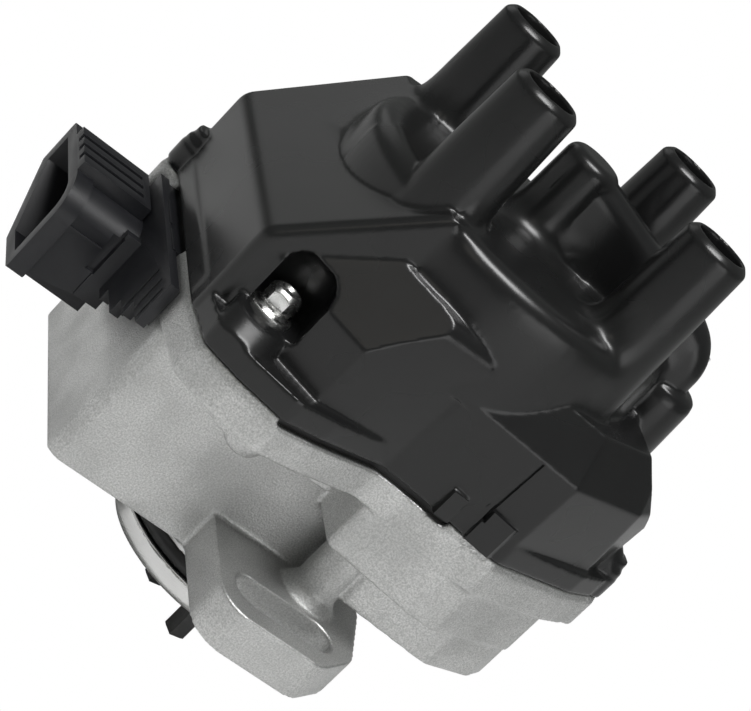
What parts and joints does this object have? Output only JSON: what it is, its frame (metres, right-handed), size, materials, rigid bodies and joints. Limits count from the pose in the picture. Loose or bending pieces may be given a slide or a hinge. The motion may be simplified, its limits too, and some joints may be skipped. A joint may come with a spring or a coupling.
{
  "type": "ignition distributor",
  "caption": "Ignition distributor with a moulded cap, plug towers, ignition coil inside, die-cast housing, slotted mounting ear, side connector and a dog-driven shaft",
  "frame": {"origin": "on the shaft axis in the plane of the mounting face", "axes": "+Z along the shaft towards the cap, -X towards the connector, -Y towards the slotted ear"},
  "size_m": [0.1471, 0.1082, 0.1567],
  "materials": {
    "die_cast_aluminium": "fine-grained as-cast surface",
    "cap_plastic": "black moulding with a satin gloss",
    "connector_plastic": "black moulding with a slight blue cast",
    "gasket_rubber": "matte black",
    "zinc_plated_steel": "bright zinc",
    "terminal_metal": "bright",
    "carbon": "pressed carbon",
    "spring_steel": "drawn wire",
    "rotor_plastic": "brown moulding",
    "brass_strip": "stamped",
    "turned_steel": "turned",
    "polished_steel": "polished",
    "sintered_bronze": "sintered",
    "dark_steel": "dark grey oxide",
    "disc_steel": "etched sheet",
    "moulded_black": "matte moulding",
    "core_laminations": "stacked sheet",
    "condenser_can": "drawn can"
  },
  "bodies": {
    "base": {"housing": "die_cast_aluminium", "cap": "cap_plastic", "cap_seal": "gasket_rubber", "cap_screws": "zinc_plated_steel", "tower_terminals": "terminal_metal", "side_electrodes": "terminal_metal", "hv_bar": "terminal_metal", "brush_spring": "spring_steel", "dust_shield": "rotor_plastic", "shield_screws": "zinc_plated_steel", "bearing_outer_ring": "turned_steel", "bearing_balls": "polished_steel", "bearing_circlip": "spring_steel", "lower_bush": "sintered_bronze", "o_ring": "gasket_rubber", "thrust_washer": "turned_steel", "pickup_module": "moulded_black", "pickup_screws": "zinc_plated_steel", "coil_body": "moulded_black", "coil_core": "core_laminations", "coil_screws": "zinc_plated_steel", "coil_terminal": "terminal_metal", "igniter": "moulded_black", "igniter_plate": "die_cast_aluminium", "igniter_screws": "zinc_plated_steel", "condenser": "condenser_can", "connector_shell": "connector_plastic", "connector_pins": "terminal_metal", "connector_seal": "gasket_rubber"},
    "rotor": {"shaft": "turned_steel", "rotor_arm": "rotor_plastic", "rotor_blade": "brass_strip", "rotor_screw": "zinc_plated_steel", "bearing_inner_ring": "turned_steel", "disc_hub": "turned_steel", "signal_disc": "disc_steel", "disc_clamp": "turned_steel", "disc_screws": "zinc_plated_steel", "drive_coupling": "dark_steel", "coupling_pin": "turned_steel"},
    "brush": {"carbon_brush": "carbon"}
  },
  "joints": [
    {"name": "shaft_spin", "type": "hinge", "parent": "base", "child": "rotor", "pos_m": [0, 0, 0], "axis": [0, 0, 1], "continuous": true},
    {"name": "brush_slide", "type": "slide", "parent": "base", "child": "brush", "axis": [0, 0, 1], "range_m": [0, 0.002], "stiffness_N_per_m": 150, "deforming": ["brush_spring"]}
  ]
}
